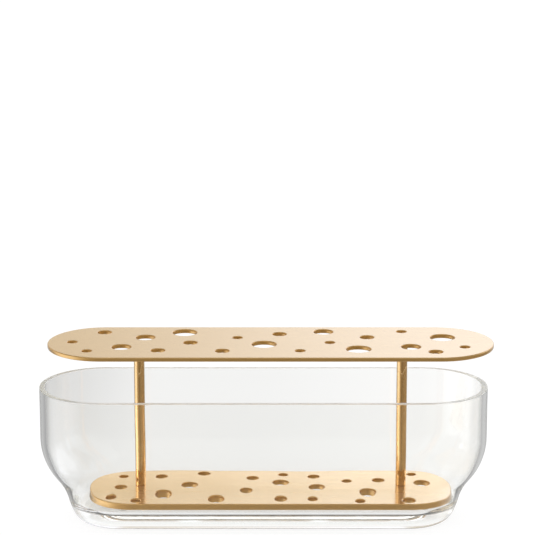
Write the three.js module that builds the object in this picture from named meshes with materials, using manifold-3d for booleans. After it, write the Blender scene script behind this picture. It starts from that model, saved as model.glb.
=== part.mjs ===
// Ikebana vase: a long low blown-glass vessel and a loose brass insert that holds the stems.
// The insert is two perforated obround plates on two posts. It stands on four clear pads on the
// glass floor and lifts straight out. Millimetres, +X along the vessel, +Z up, origin at the
// middle of the flat underside of the glass.
import * as THREE from 'three';
import { mergeVertices } from 'three/addons/utils/BufferGeometryUtils.js';
import Module from 'manifold-3d';

// Glass vessel
const rimLength = 340;
const rimWidth = 98;
const vesselHeight = 105;
const rimWall = 4.2;
const shoulderHeight = 65;
const shoulderRadius = 47;
const waistRadius = 42;
const footRounding = 17; // its height, and its reach at the sides
const footEndRounding = 12; // its reach at the ends
const footEndWall = 4.2;
const footSideWall = 8;
const floorThickness = 13;
const floorRounding = 6.5;

// Brass insert
const topPlateLength = 337;
const topPlateWidth = 85;
const topPlateThickness = 3.2;
const bottomPlateLength = 276;
const bottomPlateWidth = 68;
const bottomPlateThickness = 5;
const postDiameter = 8;
const postLength = 112.6;
const postSpacing = 199;
const postChamfer = 0.4;
const spigotDiameter = 5;
const spigotLength = 1.8;
const insertShift = 5.4; // the insert stands loose, a little to the right of the middle

// Screws that hold the posts from below, and the pads
const screwDiameter = 4;
const screwLength = 12;
const screwHeadDiameter = 8;
const screwHeadRim = 0.4;
const screwSocketWidth = 2.5;
const screwSocketDepth = 1.4;
const padDiameter = 8;
const padHeight = 4.8;
const padContactDiameter = 4;

// Fits
const seatGap = 0.1; // between pieces that stand on one another
const sideClearance = 0.25; // round a spigot, a shank or a screw head
const plateEndRoom = 0.4; // between the bottom plate's nearer end and the glass foot
const plateSideRoom = 0.5; // between the bottom plate's sides and the glass foot
const holeMargin = 2.5; // least metal between a stem hole and an edge or a spigot
const boreRunout = 1; // free depth past the tip of a screw
const cutOverrun = 1; // how far a cut runs past a face
const leastRingStep = 0.5; // least height between two sections of the wall

// Stem hole diameters: four sizes in the top plate, three smaller ones in the bottom plate
const topHoleSmall = 7.5;
const topHoleMedium = 10.5;
const topHoleLarge = 14.5;
const topHoleWide = 18.5;
const bottomHoleSmall = 7;
const bottomHoleMedium = 9;
const bottomHoleLarge = 12;
const topHoleDiameters = { s: topHoleSmall, m: topHoleMedium, l: topHoleLarge, xl: topHoleWide };
const bottomHoleDiameters = { s: bottomHoleSmall, m: bottomHoleMedium, l: bottomHoleLarge };

// Hole centres as shares of the half length and half width of their plate
const topHoles = [
  [-0.89, 0.02, 's'], [-0.815, -0.56, 's'], [-0.755, 0.65, 'm'], [-0.665, -0.31, 'l'],
  [-0.565, 0.31, 'l'], [-0.5, -0.53, 'm'], [-0.39, 0.63, 'xl'], [-0.36, -0.03, 'm'],
  [-0.215, -0.56, 'm'], [-0.15, 0.3, 's'], [-0.03, -0.14, 'xl'], [0.04, 0.53, 'm'],
  [0.13, -0.55, 's'], [0.24, 0.68, 'l'], [0.265, -0.02, 's'], [0.39, -0.45, 'xl'],
  [0.435, 0.32, 'm'], [0.595, 0.7, 's'], [0.625, -0.3, 'l'], [0.73, -0.62, 'm'],
  [0.775, 0.3, 'xl'], [0.865, -0.31, 's'],
];
const bottomHoles = [
  [-0.825, 0.59, 's'], [-0.83, -0.14, 'm'], [-0.875, -0.61, 's'], [-0.74, -0.8, 's'],
  [-0.61, 0.55, 'm'], [-0.59, -0.5, 'l'], [-0.45, -0.01, 'l'], [-0.375, 0.77, 'm'],
  [-0.3, -0.72, 'l'], [-0.135, -0.34, 'm'], [-0.1, 0.45, 'm'], [0.07, 0.72, 's'],
  [0.055, 0.16, 'l'], [0.055, -0.71, 'm'], [0.24, 0.58, 'm'], [0.255, -0.15, 'l'],
  [0.23, -0.72, 's'], [0.425, 0.24, 's'], [0.535, -0.41, 'l'], [0.49, -0.82, 's'],
  [0.6, 0.3, 'm'], [0.79, 0.7, 's'], [0.84, 0.11, 'l'], [0.755, -0.78, 'm'],
];

// Pad centres, clear of the stem holes, as shares of the bottom plate's half length and half width
const padPlaces = {
  front_left: [-0.81, -0.74],
  front_right: [0.84, -0.6],
  rear_left: [-0.72, 0.62],
  rear_right: [0.7, 0.62],
};

// Facets
const endSegments = 20; // round each end of the vessel
const arcSteps = 7; // along each arc of the wall
const rimSteps = 6;
const plateArcSteps = 11; // half the sides of a stem hole
const turnedSides = 24;

// The glass foot takes in the bottom plate, off its middle by the insert's shift
const footLength = bottomPlateLength + 2 * (insertShift + plateEndRoom + footEndWall);
const footWidth = bottomPlateWidth + 2 * (plateSideRoom + footSideWall);

// Levels, up from the glass floor the insert stands on
const bottomPlateLevel = seatGap + padHeight + seatGap;
const postLevel = bottomPlateLevel + bottomPlateThickness + seatGap;
const topPlateLevel = postLevel + postLength + seatGap;

const wasm = await Module();
wasm.setup();

// Booleans on closed meshes
function toSolid(geometry) {
  const bare = geometry.clone();
  bare.deleteAttribute('normal');
  bare.deleteAttribute('uv');
  const merged = mergeVertices(bare, 1e-4);
  const vertProperties = new Float32Array(merged.attributes.position.array);
  const triVerts = new Uint32Array(merged.index.array);
  return new wasm.Manifold(new wasm.Mesh({ numProp: 3, vertProperties, triVerts }));
}

function toGeometry(solid) {
  const mesh = solid.getMesh();
  const geometry = new THREE.BufferGeometry();
  geometry.setAttribute('position', new THREE.BufferAttribute(new Float32Array(mesh.vertProperties), 3));
  geometry.setIndex(new THREE.BufferAttribute(new Uint32Array(mesh.triVerts), 1));
  geometry.computeVertexNormals();
  return geometry;
}

function cut(geometry, tools) {
  const solid = tools.reduce((body, tool) => body.subtract(toSolid(tool)), toSolid(geometry));
  return toGeometry(solid);
}

// Vessel wall: how far the wall has drawn in at a height, from 0 at the rim to 1 at the foot,
// along a convex shoulder arc that runs into a concave waist arc
const endInset = (rimLength - footLength) / 2;
const wallRadii = shoulderRadius + waistRadius;
const wallAngle = Math.acos(1 - endInset / wallRadii);
const waistFoot = shoulderHeight - wallRadii * Math.sin(wallAngle);

function drawnIn(z) {
  if (z >= shoulderHeight) return 0;
  if (z <= waistFoot) return 1;
  const down = shoulderHeight - z;
  if (down < shoulderRadius * Math.sin(wallAngle)) {
    return (shoulderRadius - Math.sqrt(shoulderRadius ** 2 - down ** 2)) / endInset;
  }
  const up = z - waistFoot;
  return 1 - (waistRadius - Math.sqrt(waistRadius ** 2 - up ** 2)) / endInset;
}

// Heights down the wall, evenly spaced along both arcs, that lie above a level
function wallHeights(level) {
  const heights = [];
  for (let i = 0; i <= arcSteps; i += 1) {
    heights.push(shoulderHeight - shoulderRadius * Math.sin((wallAngle * i) / arcSteps));
  }
  for (let i = arcSteps - 1; i >= 0; i -= 1) {
    heights.push(waistFoot + waistRadius * Math.sin((wallAngle * i) / arcSteps));
  }
  return heights.filter((z) => z > level + leastRingStep);
}

// Heights down a rounding that ends flat at a level, with how far its ends and sides draw in
function roundingSteps(level, height, endReach, sideReach) {
  const steps = [];
  for (let i = 0; i <= arcSteps; i += 1) {
    const angle = (Math.PI / 2) * (i / arcSteps);
    const drawn = 1 - Math.cos(angle);
    steps.push({ z: level + height * (1 - Math.sin(angle)), end: endReach * drawn, side: sideReach * drawn });
  }
  return steps;
}

// The wall's size at a height, between the rim and the foot, less its thickness and a rounding
function section(z, wallAtRim, endWall, sideWall, end, side) {
  const share = drawnIn(z);
  const halfLength = THREE.MathUtils.lerp(rimLength / 2 - wallAtRim, footLength / 2 - endWall, share);
  const halfWidth = THREE.MathUtils.lerp(rimWidth / 2 - wallAtRim, footWidth / 2 - sideWall, share);
  return { z, halfLength: halfLength - end, halfWidth: halfWidth - side };
}

function outerSections() {
  const upper = wallHeights(footRounding).map((z) => section(z, 0, 0, 0, 0, 0));
  const rounding = roundingSteps(0, footRounding, footEndRounding, footRounding);
  const corner = rounding.map(({ z, end, side }) => section(z, 0, 0, 0, end, side));
  return [...upper, ...corner].reverse();
}

function rimSections() {
  const sections = [];
  const radius = rimWall / 2;
  for (let i = 0; i <= rimSteps; i += 1) {
    const angle = (Math.PI * i) / rimSteps;
    const inset = radius * (1 - Math.cos(angle));
    sections.push(section(vesselHeight - radius + radius * Math.sin(angle), 0, 0, 0, inset, inset));
  }
  return sections;
}

function innerSections() {
  const level = floorThickness;
  const upper = wallHeights(level + floorRounding);
  const wall = (z, end, side) => section(z, rimWall, footEndWall, footSideWall, end, side);
  const rounding = roundingSteps(level, floorRounding, floorRounding, floorRounding);
  const corner = rounding.map(({ z, end, side }) => wall(z, end, side));
  return [...upper.map((z) => wall(z, 0, 0)), ...corner];
}

// Points round an obround, counter-clockwise seen from above
function obroundRing({ halfLength, halfWidth, z }) {
  const points = [];
  const middle = halfLength - halfWidth;
  for (const side of [1, -1]) {
    for (let i = 0; i <= endSegments; i += 1) {
      const angle = Math.PI * (i / endSegments - 0.5);
      points.push([side * (middle + halfWidth * Math.cos(angle)), side * halfWidth * Math.sin(angle), z]);
    }
  }
  return points;
}

// A closed skin through the sections, from the middle of the underside, up the outside, over the
// rim and down the inside to the middle of the floor
function loft(sections) {
  const rings = sections.map(obroundRing);
  const count = rings[0].length;
  const positions = rings.flat(2);
  const first = positions.length / 3;
  positions.push(0, 0, sections[0].z);
  positions.push(0, 0, sections[sections.length - 1].z);
  const faces = [];
  for (let i = 0; i < count; i += 1) {
    const next = (i + 1) % count;
    faces.push(first, next, i);
    for (let ring = 0; ring < rings.length - 1; ring += 1) {
      const low = ring * count;
      const high = low + count;
      faces.push(low + i, low + next, high + next, low + i, high + next, high + i);
    }
    const last = (rings.length - 1) * count;
    faces.push(first + 1, last + i, last + next);
  }
  const geometry = new THREE.BufferGeometry();
  geometry.setAttribute('position', new THREE.Float32BufferAttribute(positions, 3));
  geometry.setIndex(faces);
  geometry.computeVertexNormals();
  return geometry;
}

function glassVessel() {
  return loft([...outerSections(), ...rimSections(), ...innerSections()]);
}

// Plates
const postPlaces = [-postSpacing / 2, postSpacing / 2];

function obroundShape(length, width) {
  const radius = width / 2;
  const middle = length / 2 - radius;
  const shape = new THREE.Shape();
  shape.moveTo(-middle, -radius);
  shape.lineTo(middle, -radius);
  shape.absarc(middle, 0, radius, -Math.PI / 2, Math.PI / 2, false);
  shape.lineTo(-middle, radius);
  shape.absarc(-middle, 0, radius, Math.PI / 2, (3 * Math.PI) / 2, false);
  return shape;
}

// A stem hole stays clear of the plate's edge and of the posts
function holeFits({ x, y, radius }, length, width) {
  const middle = length / 2 - width / 2;
  const alongEnd = Math.max(Math.abs(x) - middle, 0);
  const insideEdge = width / 2 - Math.hypot(alongEnd, y) - radius >= holeMargin;
  const clearOfPosts = postPlaces.every((post) => {
    return Math.hypot(x - post, y) - radius >= spigotDiameter / 2 + holeMargin;
  });
  return insideEdge && clearOfPosts;
}

function stemHoles(layout, diameters, length, width) {
  const holes = layout.map(([along, across, size]) => {
    return { x: (along * length) / 2, y: (across * width) / 2, radius: diameters[size] / 2 };
  });
  return holes.filter((hole) => holeFits(hole, length, width));
}

function perforatedPlate(length, width, thickness, holes) {
  const shape = obroundShape(length, width);
  for (const { x, y, radius } of holes) {
    const path = new THREE.Path();
    path.absarc(x, y, radius, 0, Math.PI * 2, true);
    shape.holes.push(path);
  }
  const settings = { depth: thickness, bevelEnabled: false, curveSegments: plateArcSteps };
  return new THREE.ExtrudeGeometry(shape, settings);
}

// A turned piece: its profile starts and ends on the axis
function turned(profile) {
  const geometry = new THREE.LatheGeometry(profile.map(([r, z]) => new THREE.Vector2(r, z)), turnedSides);
  return geometry.rotateX(Math.PI / 2);
}

// Top plate, with a blind socket in its underside for each post's spigot
const socketDepth = spigotLength + seatGap;

function topPlate() {
  const holes = stemHoles(topHoles, topHoleDiameters, topPlateLength, topPlateWidth);
  const plate = perforatedPlate(topPlateLength, topPlateWidth, topPlateThickness, holes);
  const radius = spigotDiameter / 2 + sideClearance;
  const below = -cutOverrun;
  const sockets = postPlaces.map((x) => {
    return turned([[0, below], [radius, below], [radius, socketDepth], [0, socketDepth]]).translate(x, 0, 0);
  });
  return cut(plate, sockets);
}

// Countersunk screw: head height follows from a 90 degree cone
const shankRadius = screwDiameter / 2;
const headRadius = screwHeadDiameter / 2;
const headHeight = screwHeadRim + headRadius - shankRadius;

// Bottom plate, countersunk from below for the post screws
function bottomPlate() {
  const holes = stemHoles(bottomHoles, bottomHoleDiameters, bottomPlateLength, bottomPlateWidth);
  const plate = perforatedPlate(bottomPlateLength, bottomPlateWidth, bottomPlateThickness, holes);
  const below = -cutOverrun;
  const above = bottomPlateThickness + cutOverrun;
  const wide = headRadius + sideClearance;
  const narrow = shankRadius + sideClearance;
  const seats = postPlaces.map((x) => {
    const cone = [[wide, below], [wide, screwHeadRim], [narrow, headHeight], [narrow, above]];
    return turned([[0, below], ...cone, [0, above]]).translate(x, 0, 0);
  });
  return cut(plate, seats);
}

function post() {
  const radius = postDiameter / 2;
  const bore = shankRadius + sideClearance;
  const boreDepth = screwLength - bottomPlateThickness + boreRunout;
  const spigot = spigotDiameter / 2;
  return turned([
    [0, boreDepth],
    [bore, boreDepth],
    [bore, 0],
    [radius - postChamfer, 0],
    [radius, postChamfer],
    [radius, postLength - postChamfer],
    [radius - postChamfer, postLength],
    [spigot, postLength],
    [spigot, postLength + spigotLength],
    [0, postLength + spigotLength],
  ]);
}

function screw() {
  const body = turned([
    [0, 0],
    [headRadius, 0],
    [headRadius, screwHeadRim],
    [shankRadius, headHeight],
    [shankRadius, screwLength],
    [0, screwLength],
  ]);
  const across = screwSocketWidth / Math.sqrt(3);
  const socket = new THREE.CylinderGeometry(across, across, 2 * screwSocketDepth, 6).rotateX(Math.PI / 2);
  return cut(body, [socket]);
}

// Clear pad: a flat glued top and a dome that stands on the glass
function pad() {
  const top = padDiameter / 2;
  const contact = padContactDiameter / 2;
  const profile = [[0, 0]];
  for (let i = 0; i <= arcSteps; i += 1) {
    const angle = (Math.PI / 2) * (i / arcSteps);
    profile.push([contact + (top - contact) * Math.sin(angle), padHeight * (1 - Math.cos(angle))]);
  }
  profile.push([0, padHeight]);
  return turned(profile);
}

// Finishes
const glass = { color: 0xeef2ee, roughness: 0.02, metalness: 0, transparent: true, opacity: 0.35 };
const brass = { color: 0xd9b273, roughness: 0.32, metalness: 1 };
const polishedBrass = { color: 0xc9963f, roughness: 0.18, metalness: 1 };
const steel = { color: 0xb8b8b4, roughness: 0.3, metalness: 1 };
const clearRubber = { color: 0xdcdcd8, roughness: 0.25, metalness: 0, transparent: true, opacity: 0.6 };

function piece(name, geometry, finish, x, y, z) {
  const mesh = new THREE.Mesh(geometry, new THREE.MeshStandardMaterial(finish));
  mesh.name = name;
  mesh.position.set(x, y, z);
  return mesh;
}

// Assembly
const insert = new THREE.Group();
insert.position.set(insertShift, 0, floorThickness);
insert.add(piece('top_plate', topPlate(), brass, 0, 0, topPlateLevel));
insert.add(piece('bottom_plate', bottomPlate(), brass, 0, 0, bottomPlateLevel));
for (const [index, side] of ['left', 'right'].entries()) {
  const x = postPlaces[index];
  insert.add(piece(`${side}_post`, post(), polishedBrass, x, 0, postLevel));
  insert.add(piece(`${side}_post_screw`, screw(), steel, x, 0, bottomPlateLevel));
}
for (const [place, [along, across]] of Object.entries(padPlaces)) {
  const x = (along * bottomPlateLength) / 2;
  const y = (across * bottomPlateWidth) / 2;
  insert.add(piece(`${place}_pad`, pad(), clearRubber, x, y, seatGap));
}

const vase = new THREE.Group();
vase.add(piece('glass_vessel', glassVessel(), glass, 0, 0, 0));
vase.add(insert);

export default vase;
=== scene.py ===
from math import pi, radians

import bpy
import numpy as np
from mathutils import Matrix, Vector
from mathutils.geometry import delaunay_2d_cdt


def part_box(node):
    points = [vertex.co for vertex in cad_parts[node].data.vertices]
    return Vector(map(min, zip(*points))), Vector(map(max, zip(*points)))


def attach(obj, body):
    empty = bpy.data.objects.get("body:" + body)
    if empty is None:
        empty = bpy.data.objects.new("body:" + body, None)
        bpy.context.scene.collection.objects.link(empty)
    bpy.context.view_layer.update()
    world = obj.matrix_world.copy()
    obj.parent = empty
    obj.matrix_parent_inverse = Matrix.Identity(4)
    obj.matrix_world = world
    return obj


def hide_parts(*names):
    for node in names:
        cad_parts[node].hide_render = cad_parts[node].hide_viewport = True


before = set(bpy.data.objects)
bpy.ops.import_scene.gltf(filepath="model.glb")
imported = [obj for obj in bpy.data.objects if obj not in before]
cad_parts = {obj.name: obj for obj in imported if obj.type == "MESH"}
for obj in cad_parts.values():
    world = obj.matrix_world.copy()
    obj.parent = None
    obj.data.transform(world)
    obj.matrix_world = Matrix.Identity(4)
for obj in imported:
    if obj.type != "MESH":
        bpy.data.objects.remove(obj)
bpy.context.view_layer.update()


# A mesh object from points and faces; flat lists the faces that keep a flat shade, uv gives
# each point its place across and along the finish, and the last marks the points of hole walls
# and outer edge that take a painted shade and a duller finish
def addPiece(name, points, faces, flat, material, uv=None, boreShadeAndDullness=None):
    mesh = bpy.data.meshes.new(name)
    mesh.from_pydata(points.tolist(), [], faces)
    smooth = np.ones(len(faces), dtype=bool)
    smooth[flat] = False
    mesh.polygons.foreach_set("use_smooth", smooth)
    if uv is not None:
        corners = np.empty(len(mesh.loops), dtype=np.int32)
        mesh.loops.foreach_get("vertex_index", corners)
        layer = mesh.uv_layers.new(name="brushUv")
        layer.uv.foreach_set("vector", uv[corners].astype(np.float32).ravel())
    if boreShadeAndDullness is not None:
        mesh.attributes.new("boreShadeAndDullness", "FLOAT", "POINT").data.foreach_set("value", boreShadeAndDullness.astype(np.float32))
    mesh.validate()
    mesh.update()
    mesh.materials.append(material)
    piece = bpy.data.objects.new(name, mesh)
    bpy.context.scene.collection.objects.link(piece)
    return piece


# Faces of a grid that closes on itself round each row: corner, next, next above, above
def gridFaces(rows, columns, first=0):
    row = first + columns * np.arange(rows - 1)[:, None]
    here = np.arange(columns)[None, :]
    after = (here + 1) % columns
    corners = [row + here, row + after, row + columns + after, row + columns + here]
    return np.stack(corners, axis=-1).reshape(-1, 4).tolist()


# Each corner of a profile becomes a quadratic curve between the points a reach away from it, or
# a share of the side away where that is less
def softenCorners(profile, reach, steps=4, sideShare=0.45):
    before, corner, after = profile[:-2], profile[1:-1], profile[2:]
    back, ahead = before - corner, after - corner
    backLength = np.linalg.norm(back, axis=1, keepdims=True)
    aheadLength = np.linalg.norm(ahead, axis=1, keepdims=True)
    start = corner + back / backLength * np.minimum(reach, backLength * sideShare)
    end = corner + ahead / aheadLength * np.minimum(reach, aheadLength * sideShare)
    t = np.linspace(0, 1, steps + 1)[None, :, None]
    curve = (1 - t) ** 2 * start[:, None] + 2 * t * (1 - t) * corner[:, None] + t ** 2 * end[:, None]
    return np.vstack([profile[:1], curve.reshape(-1, 2), profile[-1:]])


# A turned piece: the profile (radius, height) swept round the axis, closed by a disc at each end.
# corners counts the flats of a polygon swept instead of a circle, where flatsAt marks a station
def turnedPiece(name, profile, centre, sides, material, flatsAt=None, corners=6):
    angle = 2 * pi * np.arange(sides) / sides
    radius = np.repeat(profile[:, :1], sides, axis=1)
    if flatsAt is not None:
        sector = 2 * pi / corners
        polygon = 1 / np.cos((angle + sector / 2) % sector - sector / 2)
        radius = np.where(flatsAt[:, None], radius * polygon[None, :], radius)
    height = np.repeat(profile[:, 1:], sides, axis=1)
    x = centre[0] + radius * np.cos(angle)
    y = centre[1] + radius * np.sin(angle)
    points = np.stack([x, y, height], axis=-1).reshape(-1, 3)
    faces = gridFaces(len(profile), sides)
    last = sides * (len(profile) - 1)
    faces.append(list(range(sides))[::-1])
    faces.append(list(range(last, last + sides)))
    around = np.broadcast_to(np.arange(sides) / sides, radius.shape)
    uv = np.stack([around.ravel(), height.ravel()], axis=-1)
    return addPiece(name, points, faces, [-2, -1], material, uv)


# Once round an obround: the place along its straight (1 at the right end, -1 at the left)
# and the outward direction, for the points of both ends and both sides
def obroundPath(endPoints, sidePoints):
    turn = np.linspace(-pi / 2, pi / 2, endPoints + 1)
    along = np.linspace(1, -1, sidePoints + 1)[1:-1]
    still = np.zeros_like(along)
    place = np.concatenate([np.ones_like(turn), along, -np.ones_like(turn), -along])
    outX = np.concatenate([np.cos(turn), still, -np.cos(turn), still])
    outY = np.concatenate([np.sin(turn), still + 1, -np.sin(turn), still - 1])
    return place, outX, outY


# Obround rings: half straight times place, plus half width times the outward direction
def obroundRings(halfLength, halfWidth, path):
    place, outX, outY = path
    straight = (halfLength - halfWidth)[:, None]
    x = straight * place[None, :] + halfWidth[:, None] * outX[None, :]
    y = halfWidth[:, None] * outY[None, :]
    return x, y


# A node of a kind with its settings; each input is a value to set or a socket to link
def addNode(tree, kind, inputs=None, **settings):
    node = tree.nodes.new(kind)
    for name, value in settings.items():
        setattr(node, name, value)
    for socket, value in (inputs or {}).items():
        if isinstance(value, bpy.types.NodeSocket):
            tree.links.new(value, node.inputs[socket])
        else:
            node.inputs[socket].default_value = value
    return node


# The result of an operation on two numbers
def mathNode(tree, operation, first, second=0.0):
    return addNode(tree, "ShaderNodeMath", {0: first, 1: second}, operation=operation).outputs[0]


# A smooth step of a value from one range to another
def smoothRange(tree, value, fromLow, fromHigh, toLow, toHigh):
    ends = {"Value": value, "From Min": fromLow, "From Max": fromHigh, "To Min": toLow, "To Max": toHigh}
    return addNode(tree, "ShaderNodeMapRange", ends, interpolation_type="SMOOTHSTEP").outputs["Result"]


# A number between two others, by the share of the second
def mixNumbers(tree, share, first, second):
    return addNode(tree, "ShaderNodeMix", {"Factor": share, "A": first, "B": second}).outputs["Result"]


# A new material with its node tree and its shader
def newMaterial(name):
    material = bpy.data.materials.new(name)
    material.use_nodes = True
    tree = material.node_tree
    return material, tree, tree.nodes["Principled BSDF"]


# Grain of every finish: the noise's own roughness, and the middle of its range that is used
grain = {
    "roughness": 0.6,
    "low": 0.25,
    "high": 0.75,
}


# Noise stretched along one axis of the piece, as grinding or drawing leaves it
def streaks(tree, scale, detail):
    place = addNode(tree, "ShaderNodeTexCoord").outputs["Object"]
    stretched = addNode(tree, "ShaderNodeMapping", {"Vector": place, "Scale": scale})
    noise = {"Vector": stretched.outputs["Vector"], "Scale": 1.0, "Detail": detail}
    noise["Roughness"] = grain["roughness"]
    return addNode(tree, "ShaderNodeTexNoise", noise).outputs["Fac"]


# Roughness from low to high over the middle of a noise's range
def grainedRoughness(tree, noise, look):
    return smoothRange(tree, noise, grain["low"], grain["high"], look["roughLow"], look["roughHigh"])


# A bump of a height on the shader
def addBump(tree, shader, height, strength, distance):
    bump = addNode(tree, "ShaderNodeBump", {"Height": height, "Strength": strength, "Distance": distance})
    tree.links.new(bump.outputs["Normal"], shader.inputs["Normal"])


# Constants on the shader's own sockets
def setShader(shader, values):
    for socket, value in values.items():
        shader.inputs[socket].default_value = value


# A colour between two others, by the share of the second
def mixColours(tree, share, first, second):
    node = addNode(tree, "ShaderNodeMix", {"Factor": share}, data_type="RGBA")
    socketA, socketB, result = node.inputs[6], node.inputs[7], node.outputs[2]  # those for colours
    for socket, colour in ((socketA, first), (socketB, second)):
        if isinstance(colour, bpy.types.NodeSocket):
            tree.links.new(colour, socket)
        else:
            socket.default_value = (*colour, 1)
    return result


# Lacquered brass with a one-way grain: fine streaks set roughness and bump, broad ones the tone,
# and the drilled walls of its holes, with its outer edge in part, are duller and carry a painted shade, a
# darker tone
def grainedBrass(name, look):
    material, tree, shader = newMaterial(name)
    fine = streaks(tree, look["fineScale"], look["fineDetail"])
    broad = streaks(tree, look["broadScale"], look["broadDetail"])
    tone = mixColours(tree, broad, look["deepTone"], look["paleTone"])
    rough = grainedRoughness(tree, fine, look)
    # painted shade: the marked hole walls and edge get a darker tone, and a duller roughness
    if "paintedBoreShade" in look:
        boreShadeAndDullness = addNode(tree, "ShaderNodeAttribute", attribute_name="boreShadeAndDullness").outputs["Fac"]
        tone = mixColours(tree, boreShadeAndDullness, tone, look["paintedBoreShade"])
        rough = mixNumbers(tree, boreShadeAndDullness, rough, look["boredRough"])
    tree.links.new(tone, shader.inputs["Base Color"])
    tree.links.new(rough, shader.inputs["Roughness"])
    addBump(tree, shader, fine, look["bumpStrength"], look["bumpDepth"])
    tangent = addNode(tree, "ShaderNodeTangent", direction_type="UV_MAP", uv_map="brushUv")
    tree.links.new(tangent.outputs["Tangent"], shader.inputs["Tangent"])
    setShader(shader, {
        "Metallic": 1,
        "Anisotropic": look["anisotropy"],
        "Coat Weight": look["lacquer"],
        "Coat Roughness": look["lacquerRough"],
        "Coat IOR": look["lacquerIor"],
    })
    return material


# Clear glass: a smooth dielectric with faint waves in its skin and a grey-green depth, made
# softer near the top by a smooth step of the height
def clearGlass(name, look, top):
    material, tree, shader = newMaterial(name)
    waves = streaks(tree, look["waveScale"], look["waveDetail"])
    addBump(tree, shader, waves, look["waveStrength"], look["waveDepth"])
    place = addNode(tree, "ShaderNodeTexCoord").outputs["Object"]
    height = addNode(tree, "ShaderNodeSeparateXYZ", {"Vector": place}).outputs["Z"]
    rimLow = top - look["rimDepth"]
    rimHigh = rimLow + look["rimBlend"]
    rough = smoothRange(tree, height, rimLow, rimHigh, look["roughness"], look["rimRoughness"])
    tree.links.new(rough, shader.inputs["Roughness"])
    setShader(shader, {"Base Color": (*look["tint"], 1), "IOR": look["ior"], "Transmission Weight": 1})
    depth = {"Color": (*look["depthColour"], 1), "Density": look["depthDensity"]}
    volume = addNode(tree, "ShaderNodeVolumeAbsorption", depth)
    output = tree.nodes["Material Output"]
    tree.links.new(volume.outputs["Volume"], output.inputs["Volume"])
    return material


# Zinc-bright steel with a faint turned grain
def brightSteel(name, look):
    material, tree, shader = newMaterial(name)
    turned = streaks(tree, look["turnedScale"], look["turnedDetail"])
    tree.links.new(grainedRoughness(tree, turned, look), shader.inputs["Roughness"])
    setShader(shader, {"Base Color": (*look["tone"], 1), "Metallic": 1})
    return material


# Clear soft rubber: a slightly hazy dielectric with a fine skin
def clearRubber(name, look):
    material, tree, shader = newMaterial(name)
    skin = streaks(tree, look["skinScale"], look["skinDetail"])
    tree.links.new(grainedRoughness(tree, skin, look), shader.inputs["Roughness"])
    clear = {"IOR": look["ior"], "Transmission Weight": look["clearness"]}
    setShader(shader, {"Base Color": (*look["tone"], 1), **clear})
    return material


# Glass vessel
vesselLow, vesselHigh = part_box("glass_vessel")
vessel = {
    "rimWall": 0.0042,
    "rimFlatness": 0.25,  # power of the rim's oval: 1 gives a half circle, less a flatter top
    "shoulderHeight": 0.065,
    "shoulderRadius": 0.047,
    "waistRadius": 0.042,
    "footHalfLength": 0.148,
    "footHalfWidth": 0.0425,
    "footRounding": 0.017,  # its height, and its reach at the sides
    "footEndRounding": 0.012,  # its reach at the ends
    "footEndWall": 0.0042,
    "footSideWall": 0.008,
    "floorThickness": 0.013,
    "floorRounding": 0.0065,
    "ripple": 0.00012,  # unevenness of the inner skin, as blown glass has
    "longWave": (41, 0, 13, 0),  # its waves: radians a metre along x, y and z, and a start
    "steepWave": (0, 23, 67, 0.7),
    "crossWave": (97, 0, -59, 0),
    "crossShare": 0.6,
    "endPoints": 72,
    "sidePoints": 30,
    "wallStations": 48,
    "roundStations": 14,
    "capInset": 0.0008,
}
glassLook = {
    "tint": (0.995, 0.998, 0.99),
    "roughness": 0.0,
    "rimRoughness": 0.35,  # the rim is ground flat and softly polished
    "rimDepth": 0.0008,
    "rimBlend": 0.0004,
    "ior": 1.5,
    "waveScale": (28, 28, 40),
    "waveDetail": 1.0,
    "waveStrength": 0.08,
    "waveDepth": 0.0004,
    "depthColour": (0.91, 0.93, 0.91),
    "depthDensity": 3,
}


# How far the wall has drawn in at a height, 0 at the rim and 1 at the foot: a convex shoulder
# arc that runs into a concave waist arc, each its radius less the root of the radius squared
# less the distance from its level squared
def drawnIn(z, inset):
    shoulder, waist = vessel["shoulderRadius"], vessel["waistRadius"]
    angle = np.arccos(1 - inset / (shoulder + waist))
    waistFoot = vessel["shoulderHeight"] - (shoulder + waist) * np.sin(angle)
    down = np.clip(vessel["shoulderHeight"] - z, 0, shoulder * np.sin(angle))
    up = np.clip(z - waistFoot, 0, waist * np.sin(angle))
    convex = (shoulder - np.sqrt(shoulder ** 2 - down ** 2)) / inset
    concave = 1 - (waist - np.sqrt(waist ** 2 - up ** 2)) / inset
    return np.where(z > vessel["shoulderHeight"] - shoulder * np.sin(angle), convex, concave)


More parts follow.
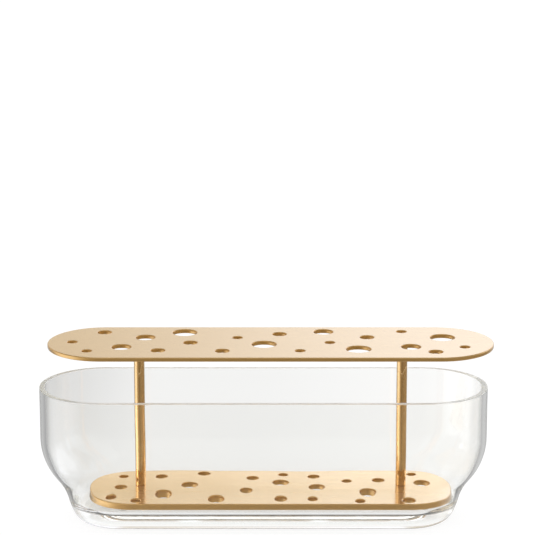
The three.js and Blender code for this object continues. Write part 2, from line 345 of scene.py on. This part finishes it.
# The skin as stations (height, half length, half width): up the outside, over the rim's oval and
# down the inside, each between its rim and foot size by the share drawn in, less any rounding
def vesselStations():
    halfLength, halfWidth, height = vesselHigh.x, vesselHigh.y, vesselHigh.z
    inset = halfLength - vessel["footHalfLength"]
    quarter = np.linspace(pi / 2, 0, vessel["roundStations"] + 1)

    def stations(z, rimWall, endWall, sideWall, endRound, sideRound):
        share = drawnIn(z, inset)
        a = (halfLength - rimWall) * (1 - share) + (vessel["footHalfLength"] - endWall) * share
        b = (halfWidth - rimWall) * (1 - share) + (vessel["footHalfWidth"] - sideWall) * share
        return np.stack([z, a - endRound, b - sideRound], axis=-1)

    footRound = vessel["footRounding"]
    footZ = footRound * (1 - np.sin(quarter))
    drawn = 1 - np.cos(quarter)
    foot = stations(footZ, 0, 0, 0, vessel["footEndRounding"] * drawn, footRound * drawn)
    rimRadius = vessel["rimWall"] / 2
    rise = height - rimRadius
    wallZ = np.linspace(footRound, rise, vessel["wallStations"])[1:-1]
    outer = stations(wallZ, 0, 0, 0, 0, 0)
    over = np.linspace(0, pi, 2 * vessel["roundStations"] + 1)
    across = np.sign(np.cos(over)) * np.abs(np.cos(over)) ** vessel["rimFlatness"]
    rimRound = rimRadius * (1 - across)
    rimZ = rise + rimRadius * np.abs(np.sin(over)) ** vessel["rimFlatness"]
    rim = stations(rimZ, 0, 0, 0, rimRound, rimRound)
    walls = (vessel["rimWall"], vessel["footEndWall"], vessel["footSideWall"])
    floorRound, floorLevel = vessel["floorRounding"], vessel["floorThickness"]
    innerZ = np.linspace(rise, floorLevel + floorRound, vessel["wallStations"])[1:-1]
    inner = stations(innerZ, *walls, 0, 0)
    cornerZ = floorLevel + floorRound * (1 - np.sin(quarter[::-1]))
    cornerRound = floorRound * drawn[::-1]
    corner = stations(cornerZ, *walls, cornerRound, cornerRound)
    cap = np.array([0, vessel["capInset"], vessel["capInset"]])
    outside = np.vstack([foot[:1] - cap, foot, outer, rim])
    inside = np.vstack([inner, corner, corner[-1:] - cap])
    return np.vstack([outside, inside]), len(outside)


# A slow wave over the skin: the sine of the places times their rates, added up from a start
def skinWave(rates, x, y, z):
    rateX, rateY, rateZ, start = rates
    return np.sin(rateX * x + rateY * y + rateZ * z + start)


# The glass: obround rings through the stations, the inner ones moved in and out along their
# outward direction by slow waves that fade towards the rim and the floor, with a flat face on
# the underside and the floor
def makeVessel(material):
    stations, firstInner = vesselStations()
    path = obroundPath(vessel["endPoints"], vessel["sidePoints"])
    x, y = obroundRings(stations[:, 1], stations[:, 2], path)
    z = np.repeat(stations[:, :1], x.shape[1], axis=1)
    wave = skinWave(vessel["longWave"], x, y, z) * skinWave(vessel["steepWave"], x, y, z)
    wave += vessel["crossShare"] * skinWave(vessel["crossWave"], x, y, z)
    rise = (z - vessel["floorThickness"]) / (vesselHigh.z - vessel["floorThickness"])
    inner = np.arange(len(stations))[:, None] >= firstInner
    ripple = vessel["ripple"] * np.where(inner, wave * np.sin(pi * np.clip(rise, 0, 1)), 0)
    points = np.stack([x + ripple * path[1], y + ripple * path[2], z], axis=-1).reshape(-1, 3)
    rows, columns = x.shape
    faces = gridFaces(rows, columns)
    faces.append(list(range(columns))[::-1])
    faces.append(list(range(columns * (rows - 1), columns * rows)))
    piece = addPiece("clearGlassVessel", points, faces, [-2, -1], material)
    piece.visible_shadow = False
    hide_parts("glass_vessel")
    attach(piece, "vessel")
    print("vessel made:", len(faces), "faces")


makeVessel(clearGlass("clear glass", glassLook, vesselHigh.z))

# Brass plates
plate = {
    "edgeRound": 0.0007,
    "edgeSteps": 4,
    "edgeBoreShade": 0.85,  # how far the sawn outer edge takes the painted shade and dull finish of the holes' walls
    "endPoints": 96,
    "sidePoints": 2,
    "holePoints": 56,
}
plateLook = {
    "deepTone": (0.87, 0.655, 0.36),
    "paleTone": (0.90, 0.685, 0.40),
    # painted shade: the darker tone given to the holes' walls and the outer edge
    "paintedBoreShade": (0.70, 0.42, 0.13),
    "boredRough": 0.38,
    "roughLow": 0.26,
    "roughHigh": 0.34,
    "fineScale": (16, 3800, 3800),
    "fineDetail": 3.0,
    "broadScale": (4, 900, 900),
    "broadDetail": 2.0,
    "bumpStrength": 0.07,
    "bumpDepth": 0.00002,
    "anisotropy": 0.7,
    "lacquer": 1.0,
    "lacquerRough": 0.11,
    "lacquerIor": 1.5,
}
# Hole centres as shares of the half length and half width of their plate, with a size
topPlate = {
    "node": "top_plate",
    "name": "brushedTopPlate",
    "diameters": {"s": 0.0075, "m": 0.0105, "l": 0.0145, "xl": 0.0185},
    "holes": [
        (-0.89, 0.02, "s"), (-0.815, -0.56, "s"), (-0.755, 0.65, "m"), (-0.665, -0.31, "l"),
        (-0.565, 0.31, "l"), (-0.5, -0.53, "m"), (-0.39, 0.63, "xl"), (-0.36, -0.03, "m"),
        (-0.215, -0.56, "m"), (-0.15, 0.3, "s"), (-0.03, -0.14, "xl"), (0.04, 0.53, "m"),
        (0.13, -0.55, "s"), (0.24, 0.68, "l"), (0.265, -0.02, "s"), (0.39, -0.45, "xl"),
        (0.435, 0.32, "m"), (0.595, 0.7, "s"), (0.625, -0.3, "l"), (0.73, -0.62, "m"),
        (0.775, 0.3, "xl"), (0.865, -0.31, "s"),
    ],
    # blind seat for a post's spigot, up from the underside: radius and height
    "seat": [(0.00275, 0.0), (0.00275, 0.0019)],
    "seatGoesThrough": False,
}
bottomPlate = {
    "node": "bottom_plate",
    "name": "brushedBottomPlate",
    "diameters": {"s": 0.007, "m": 0.009, "l": 0.012},
    "holes": [
        (-0.825, 0.59, "s"), (-0.83, -0.14, "m"), (-0.875, -0.61, "s"), (-0.74, -0.8, "s"),
        (-0.61, 0.55, "m"), (-0.59, -0.5, "l"), (-0.45, -0.01, "l"), (-0.375, 0.77, "m"),
        (-0.3, -0.72, "l"), (-0.135, -0.34, "m"), (-0.1, 0.45, "m"), (0.07, 0.72, "s"),
        (0.055, 0.16, "l"), (0.055, -0.71, "m"), (0.24, 0.58, "m"), (0.255, -0.15, "l"),
        (0.23, -0.72, "s"), (0.425, 0.24, "s"), (0.535, -0.41, "l"), (0.49, -0.82, "s"),
        (0.6, 0.3, "m"), (0.79, 0.7, "s"), (0.84, 0.11, "l"), (0.755, -0.78, "m"),
    ],
    # countersunk seat for a screw head: radius and height
    "seat": [(0.00425, 0.0), (0.00425, 0.0004), (0.00225, 0.0024), (0.00225, 0.005)],
    "seatGoesThrough": True,
}


# Triangles between rings of points in a plane, the first round the outside and the rest round
# holes: a constrained Delaunay fill, less the triangles with all corners on one hole
def fillBetween(rings):
    flat = np.vstack(rings)
    ringOf = np.concatenate([np.full(len(ring), i) for i, ring in enumerate(rings)])
    starts = np.cumsum([0] + [len(ring) for ring in rings[:-1]])
    edges = [(s + i, s + (i + 1) % len(r)) for s, r in zip(starts.tolist(), rings) for i in range(len(r))]
    insideOnly, mergeReach = 1, 1e-9
    filled = delaunay_2d_cdt([Vector(p) for p in flat.tolist()], edges, [], insideOnly, mergeReach)
    order = np.array([source[0] for source in filled[3]])
    triangles = order[np.array(filled[2])]
    owners = ringOf[triangles]
    inHole = (owners[:, 0] > 0) & (owners[:, 0] == owners[:, 1]) & (owners[:, 0] == owners[:, 2])
    return triangles[~inHole]


# The edge of a plate as (inset, height): a quarter round up from the underside, the upright
# edge and a quarter round on to the top
def roundedEdge(low, high):
    r = plate["edgeRound"]
    t = np.linspace(0, pi / 2, plate["edgeSteps"] + 1)
    up = np.stack([r * (1 - np.sin(t)), low + r * (1 - np.cos(t))], axis=-1)
    over = np.stack([r * (1 - np.cos(t)), high - r * (1 - np.sin(t))], axis=-1)
    return np.vstack([up, over])


# A perforated plate: the edge profile carried round the obround outline and, turned inwards,
# round every hole and seat, with both faces filled between the end rings
def makePlate(facts, postPlaces, material):
    low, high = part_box(facts["node"])
    middleX = (low.x + high.x) / 2
    halfLength, halfWidth = (high.x - low.x) / 2, (high.y - low.y) / 2
    edge = roundedEdge(low.z, high.z)
    x, y = obroundRings(halfLength - edge[:, 0], halfWidth - edge[:, 0],
                        obroundPath(plate["endPoints"], plate["sidePoints"]))
    grids = [np.stack([middleX + x, y, np.repeat(edge[:, 1:], x.shape[1], axis=1)], axis=-1)]
    turn = -2 * pi * np.arange(plate["holePoints"]) / plate["holePoints"]

    def bore(centreX, centreY, radii, heights):
        ringX = centreX + radii[:, None] * np.cos(turn)
        ringY = centreY + radii[:, None] * np.sin(turn)
        return np.stack([ringX, ringY, np.repeat(heights[:, None], len(turn), axis=1)], axis=-1)

    for along, across, size in facts["holes"]:
        radii = facts["diameters"][size] / 2 + edge[:, 0]
        grids.append(bore(middleX + along * halfLength, across * halfWidth, radii, edge[:, 1]))
    through = len(grids)
    seat = np.array(facts["seat"])
    for postX in postPlaces:
        grids.append(bore(postX, 0, seat[:, 0], low.z + seat[:, 1]))
    onTop = grids if facts["seatGoesThrough"] else grids[:through]

    points = np.vstack([grid.reshape(-1, 3) for grid in grids])
    # painted shade: hole walls fully and the outer edge in part get the darker tone and duller finish
    inside = [np.zeros(grid.shape[:2]) for grid in grids]
    for place, share in enumerate(inside):
        share[1:-1] = 1 if place else plate["edgeBoreShade"]
    boreShadeAndDullness = np.concatenate([share.ravel() for share in inside])
    firsts = np.cumsum([0] + [grid.shape[0] * grid.shape[1] for grid in grids])
    faces = []
    for grid, first in zip(grids, firsts):
        faces += gridFaces(grid.shape[0], grid.shape[1], first)
    upright = len(faces)
    lowIds = np.concatenate([first + np.arange(g.shape[1]) for g, first in zip(grids, firsts)])
    highIds = np.concatenate([first + (g.shape[0] - 1) * g.shape[1] + np.arange(g.shape[1])
                              for g, first in zip(onTop, firsts)])
    faces += lowIds[fillBetween([g[0, :, :2] for g in grids])][:, ::-1].tolist()
    faces += highIds[fillBetween([g[-1, :, :2] for g in onTop])].tolist()
    for grid, first in zip(grids[len(onTop):], firsts[len(onTop):]):
        last = first + (grid.shape[0] - 1) * grid.shape[1]
        faces.append(list(range(last, last + grid.shape[1])))
    uv = np.stack([points[:, 1], points[:, 0]], axis=-1)
    piece = addPiece(facts["name"], points, faces, slice(upright, None), material, uv, boreShadeAndDullness)
    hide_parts(facts["node"])
    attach(piece, "insert")
    print(facts["name"], "made:", len(faces), "faces,", len(facts["holes"]), "holes")


posts = [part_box(side + "_post") for side in ("left", "right")]
postPlaces = [(low.x + high.x) / 2 for low, high in posts]
brushedBrass = grainedBrass("brushed brass", plateLook)
makePlate(topPlate, postPlaces, brushedBrass)
makePlate(bottomPlate, postPlaces, brushedBrass)

# Posts: drawn rod, bored below for its screw and turned down to a spigot above
rod = {
    "chamfer": 0.0004,
    "spigotRadius": 0.0025,
    "spigotLength": 0.0018,
    "boreRadius": 0.00225,
    "boreDepth": 0.008,
    "cornerReach": 0.0001,
    "sides": 96,
}
rodLook = {
    "deepTone": (0.80, 0.47, 0.12),
    "paleTone": (0.86, 0.53, 0.18),
    "roughLow": 0.08,
    "roughHigh": 0.15,
    "fineScale": (2400, 2400, 16),
    "fineDetail": 3.0,
    "broadScale": (700, 700, 7),
    "broadDetail": 2.0,
    "bumpStrength": 0.12,
    "bumpDepth": 0.00002,
    "anisotropy": 0.35,
    "lacquer": 1.0,
    "lacquerRough": 0.06,
    "lacquerIor": 2.4,
}


# A post's profile: in at the bore, down to the foot, up the chamfered side, in to the spigot
def makePosts(material):
    for side, (low, high), x in zip(("left", "right"), posts, postPlaces):
        radius, chamfer = (high.x - low.x) / 2, rod["chamfer"]
        shoulder = high.z - rod["spigotLength"]
        profile = np.array([
            (rod["boreRadius"], low.z + rod["boreDepth"]),
            (rod["boreRadius"], low.z),
            (radius - chamfer, low.z),
            (radius, low.z + chamfer),
            (radius, shoulder - chamfer),
            (radius - chamfer, shoulder),
            (rod["spigotRadius"], shoulder),
            (rod["spigotRadius"], high.z),
        ])
        profile = softenCorners(profile, rod["cornerReach"])
        piece = turnedPiece(side + "BrassPost", profile, (x, 0), rod["sides"], material)
        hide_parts(side + "_post")
        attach(piece, "insert")
    print("posts made")


makePosts(grainedBrass("drawn brass", rodLook))

# Countersunk screws with a hexagon socket
screw = {
    "shankRadius": 0.002,
    "headRim": 0.0004,
    "socketApothem": 0.00125,
    "socketDepth": 0.0014,
    "threadPitch": 0.0007,
    "threadDepth": 0.0003,
    "stationsPerPitch": 8,
    "sides": 72,
}
steelLook = {
    "tone": (0.60, 0.60, 0.585),
    "roughLow": 0.2,
    "roughHigh": 0.34,
    "turnedScale": (900, 900, 900),
    "turnedDetail": 2.0,
}


# A screw's profile: up out of the hexagon socket, over the head and along its cone, then the
# shank, grooved by a cosine of the pitch
def makeScrews(material):
    for side in ("left", "right"):
        low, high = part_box(side + "_post_screw")
        head = (high.x - low.x) / 2
        coneTop = low.z + screw["headRim"] + head - screw["shankRadius"]
        length = high.z - coneTop
        count = int(length / screw["threadPitch"] * screw["stationsPerPitch"])
        along = np.linspace(0, length, count + 1)
        wave = 0.5 - 0.5 * np.cos(2 * pi * along / screw["threadPitch"])
        shank = np.stack([screw["shankRadius"] - screw["threadDepth"] * wave, coneTop + along], axis=-1)
        socket = np.array([
            (screw["socketApothem"], low.z + screw["socketDepth"]),
            (screw["socketApothem"], low.z),
        ])
        rim = np.array([(head, low.z), (head, low.z + screw["headRim"])])
        profile = np.vstack([socket, rim, shank])
        flatsAt = np.arange(len(profile)) < len(socket)
        middle = ((low.x + high.x) / 2, (low.y + high.y) / 2)
        piece = turnedPiece(side + "PostScrew", profile, middle, screw["sides"], material, flatsAt)
        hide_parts(side + "_post_screw")
        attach(piece, "insert")
    print("screws made")


makeScrews(brightSteel("bright steel", steelLook))

# Clear pads under the bottom plate
pad = {
    "contactRadius": 0.002,
    "domeSteps": 20,
    "sides": 64,
}
padLook = {
    "tone": (0.86, 0.87, 0.86),
    "roughLow": 0.05,
    "roughHigh": 0.14,
    "ior": 1.45,
    "clearness": 0.85,
    "skinScale": (600, 600, 600),
    "skinDetail": 2.0,
}


# A pad's profile: a quarter of an ellipse from the flat it stands on up to its glued top
def makePads(material):
    turn = np.linspace(0, pi / 2, pad["domeSteps"] + 1)
    for place in ("front_left", "front_right", "rear_left", "rear_right"):
        low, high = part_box(place + "_pad")
        top, contact = (high.x - low.x) / 2, pad["contactRadius"]
        radii = contact + (top - contact) * np.sin(turn)
        heights = low.z + (high.z - low.z) * (1 - np.cos(turn))
        profile = np.stack([radii, heights], axis=-1)
        middle = ((low.x + high.x) / 2, (low.y + high.y) / 2)
        words = place.split("_")
        name = words[0] + words[1].capitalize() + "ClearPad"
        piece = turnedPiece(name, profile, middle, pad["sides"], material)
        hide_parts(place + "_pad")
        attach(piece, "insert")
    print("pads made")


makePads(clearRubber("clear rubber", padLook))

# Stage: a pale floor, a studio seen only by reflections, one soft lamp overhead
turns = {
    "reflected": 0.5,  # a count of a light path's turns is told from half a turn below it
    "reflectedTwice": 1.5,
    "intoSecondWall": 2.5,
}


# 1 for light that has been reflected at least once on its way to the camera, and the node that
# counts its turns
def reflectedShare(tree):
    light = addNode(tree, "ShaderNodeLightPath")
    return mathNode(tree, "GREATER_THAN", light.outputs["Glossy Depth"], turns["reflected"]), light


# A level that follows a list of (place, level) in straight steps: a ramp over the list's span,
# times its peak
def levelRamp(tree, value, levels):
    first, last = levels[0][0], levels[-1][0]
    peak = max(level for place, level in levels)
    span = {"Value": value, "From Min": first, "From Max": last}
    share = addNode(tree, "ShaderNodeMapRange", span).outputs["Result"]
    ramp = addNode(tree, "ShaderNodeValToRGB", {"Fac": share})
    stops = ramp.color_ramp.elements
    while len(stops) < len(levels):
        stops.new(0.5)  # its place is set below
    for stop, (place, level) in zip(stops, levels):
        stop.position = (place - first) / (last - first)
        stop.color = (level / peak, level / peak, level / peak, 1)
    return mathNode(tree, "MULTIPLY", ramp.outputs["Color"], peak)


floor = {
    "halfSize": 6.0,
    "drop": 0.0004,
    "glow": 0.88,  # share of its white that takes no shadow
    "albedo": 0.14,
}
# The floor's glow as the glass shows it, a painted shade that darkens towards the left, from left to
# right: metres and level
throughLight = [(-0.3, 0.54), (-0.17, 0.71), (-0.1, 0.9), (0.0, 0.91), (0.1, 0.96), (0.2, 0.97)]


# The floor: white glow plus a diffuse share that keeps the shadow; reflections look through it
def makeFloor():
    corners = floor["halfSize"] * np.array([(-1, -1, 0), (1, -1, 0), (1, 1, 0), (-1, 1, 0)])
    corners[:, 2] = -floor["drop"]
    material = bpy.data.materials.new("pale floor")
    material.use_nodes = True
    tree = material.node_tree
    tree.nodes.clear()
    reflected, light = reflectedShare(tree)
    place = addNode(tree, "ShaderNodeTexCoord").outputs["Object"]
    x = addNode(tree, "ShaderNodeSeparateXYZ", {"Vector": place}).outputs["X"]
    # painted shade: through the glass the floor's glow follows these levels, dimmer to the left
    through = levelRamp(tree, x, throughLight)
    seen = mixNumbers(tree, light.outputs["Is Transmission Ray"], 1.0, through)
    strength = mathNode(tree, "MULTIPLY", seen, floor["glow"])
    glow = addNode(tree, "ShaderNodeEmission", {"Strength": strength})
    albedo = floor["albedo"]
    matt = addNode(tree, "ShaderNodeBsdfDiffuse", {"Color": (albedo, albedo, albedo, 1)})
    both = addNode(tree, "ShaderNodeAddShader", {0: glow.outputs[0], 1: matt.outputs[0]})
    clear = addNode(tree, "ShaderNodeBsdfTransparent")
    mix = addNode(tree, "ShaderNodeMixShader", {0: reflected, 1: both.outputs[0], 2: clear.outputs[0]})
    addNode(tree, "ShaderNodeOutputMaterial", {"Surface": mix.outputs[0]})
    piece = addPiece("paleFloor", corners, [[0, 1, 2, 3]], [], material)


studio = {
    "white": (1, 1, 1),
    "backLeft": (0.82, 0.73, 0.60),  # the back wall above the horizon, warm to the left
    "backRight": (1.36, 1.36, 1.44),
    "frontHigh": (0.7, 0.68, 0.64),
    "frontAgain": (0.28, 0.19, 0.08),  # the same, as the reflection of a reflection shows it
    "softbox": (2.4, 2.4, 2.4),  # a strip at the left in that second reflection
    "frontLow": (1.0, 0.84, 0.62),  # the warm room that lies low in front
    "ceiling": (0.1, 0.1, 0.1),
    "overhead": (1.0, 1.0, 1.0),
    "flag": (0.0, 0.0, 0.0),  # a dark strip that hangs straight above
    "tableFront": (0.38, 0.35, 0.3),  # the table below, from front to back
    "tableMiddle": (0.88, 0.88, 0.88),
    "tableBack": (0.14, 0.14, 0.14),
    "throughLift": 1.3,  # makes up for what two walls of glass hold back
}
# Where each part of the studio takes over from the one before it, from and to: by the
# direction's x for the right, y for the depth and z for the height
takesOver = {
    "backRight": (-0.11, 0.11),
    "back": (-0.2, 0.3),
    "ceiling": (0.5, 0.65),
    "overhead": (0.72, 0.85),
    "flag": (-0.17, -0.11),
    "behindFlag": (0.13, 0.19),
    "tableMiddle": (-0.15, 0.1),
    "tableBack": (0.56, 0.64),
    "lowRing": (-0.8, -0.4),
    "upper": (-0.06, 0.06),
}
# Light that comes from low down, round from the back by the left, front and right: degrees
# from the front and level
lowLight = [
    (-180, 0.12), (-168, 0.42), (-156, 0.6), (-140, 0.42), (-122, 0.36), (-110, 0.9), (-96, 1.45),
    (-64, 1.45), (-50, 0.95), (-34, 0.42), (-14, 0.32), (0, 0.18), (14, 0.28), (50, 0.33), (85, 0.32),
    (110, 0.3), (122, 0.36), (138, 0.54), (150, 0.62), (160, 0.58), (170, 0.4), (180, 0.12),
]
# Shares of the softbox and of the front's warm tone, by the same degrees
softboxShare = [(-180, 0), (-110, 0), (-96, 1), (-64, 1), (-50, 0), (180, 0)]
warmth = [(-180, 0), (-58, 0), (-34, 1), (100, 1), (130, 0), (180, 0)]


# The world: white to the camera, and to reflections a studio worked out from the direction:
# above the horizon a room in front and a back wall that brightens to the right, under a dark
# ceiling with a bright middle that a flag divides, and below it the ring of low light times the
# front's tone, over a table in three tones. A reflection of a reflection that comes through the
# glass sees the room in front darker with a softbox, and what comes through it is lifted
def makeWorld():
    world = bpy.data.worlds.new("studio")
    bpy.context.scene.world = world
    world.use_nodes = True
    tree = world.node_tree
    tree.nodes.clear()
    reflected, light = reflectedShare(tree)
    direction = addNode(tree, "ShaderNodeTexCoord").outputs["Generated"]
    split = addNode(tree, "ShaderNodeSeparateXYZ", {"Vector": direction})
    x, y, z = split.outputs["X"], split.outputs["Y"], split.outputs["Z"]
    turn = mathNode(tree, "ARCTAN2", x, mathNode(tree, "MULTIPLY", y, -1.0))
    degrees = mathNode(tree, "MULTIPLY", turn, 180 / pi)

    # The tone before a part and the part's own, mixed by a smooth step where it takes over
    def follow(part, place, before, after):
        low, high = takesOver[part]
        return mixColours(tree, smoothRange(tree, place, low, high, 0.0, 1.0), before, after)

    twice = mathNode(tree, "GREATER_THAN", light.outputs["Glossy Depth"], turns["reflectedTwice"])
    skins = light.outputs["Transmission Depth"]
    crossed = mathNode(tree, "GREATER_THAN", skins, turns["intoSecondWall"])
    softbox = levelRamp(tree, degrees, softboxShare)
    again = mixColours(tree, softbox, studio["frontAgain"], studio["softbox"])
    front = mixColours(tree, mathNode(tree, "MULTIPLY", twice, crossed), studio["frontHigh"], again)
    back = follow("backRight", x, studio["backLeft"], studio["backRight"])
    upper = follow("back", y, front, back)
    upper = follow("ceiling", z, upper, studio["ceiling"])
    overhead = follow("flag", y, studio["overhead"], studio["flag"])
    overhead = follow("behindFlag", y, overhead, studio["overhead"])
    upper = follow("overhead", z, upper, overhead)

    tone = mixColours(tree, levelRamp(tree, degrees, warmth), studio["white"], studio["frontLow"])
    toned = {"Vector": tone, "Scale": levelRamp(tree, degrees, lowLight)}
    lowRing = addNode(tree, "ShaderNodeVectorMath", toned, operation="SCALE").outputs["Vector"]
    table = follow("tableMiddle", y, studio["tableFront"], studio["tableMiddle"])
    table = follow("tableBack", y, table, studio["tableBack"])
    lower = follow("lowRing", z, table, lowRing)

    seen = mixColours(tree, reflected, studio["white"], follow("upper", z, lower, upper))
    lifted = mathNode(tree, "MULTIPLY", crossed, reflected)
    level = mixNumbers(tree, lifted, 1.0, studio["throughLift"])
    background = addNode(tree, "ShaderNodeBackground", {"Color": seen, "Strength": level})
    addNode(tree, "ShaderNodeOutputWorld", {"Surface": background.outputs[0]})


softLamp = {
    "place": (0.1, -0.1, 1.5),
    "size": 1.6,
    "power": 7.0,
}


# A square lamp overhead that faces down, and that reflections don't show
def makeLamp():
    data = bpy.data.lights.new("overhead softbox", "AREA")
    data.size = softLamp["size"]
    data.energy = softLamp["power"]
    lamp = bpy.data.objects.new("overheadSoftbox", data)
    lamp.visible_glossy = False
    lamp.location = softLamp["place"]
    bpy.context.scene.collection.objects.link(lamp)


makeFloor()
makeWorld()
makeLamp()
print("stage made")

# Camera: a little above the object and far off, as a product shot is taken
view = {
    "place": (0.00304, -1.7525, 0.6363),
    "downDegrees": 14.07,
    "lens": 162.19,
    "sensor": 36.0,
}
cameraData = bpy.data.cameras.new("camera")
cameraData.lens = view["lens"]
cameraData.sensor_width = view["sensor"]
camera = bpy.data.objects.new("camera", cameraData)
camera.location = view["place"]
camera.rotation_euler = (radians(90 - view["downDegrees"]), 0, 0)
bpy.context.scene.collection.objects.link(camera)
bpy.context.scene.camera = camera
bpy.context.scene.view_settings.view_transform = "Standard"

# Light goes on through the many inner reflections of the thick glass foot
bounces = {"max_bounces": 96, "glossy_bounces": 72, "transmission_bounces": 64}
for kind, count in bounces.items():
    setattr(bpy.context.scene.cycles, kind, count)
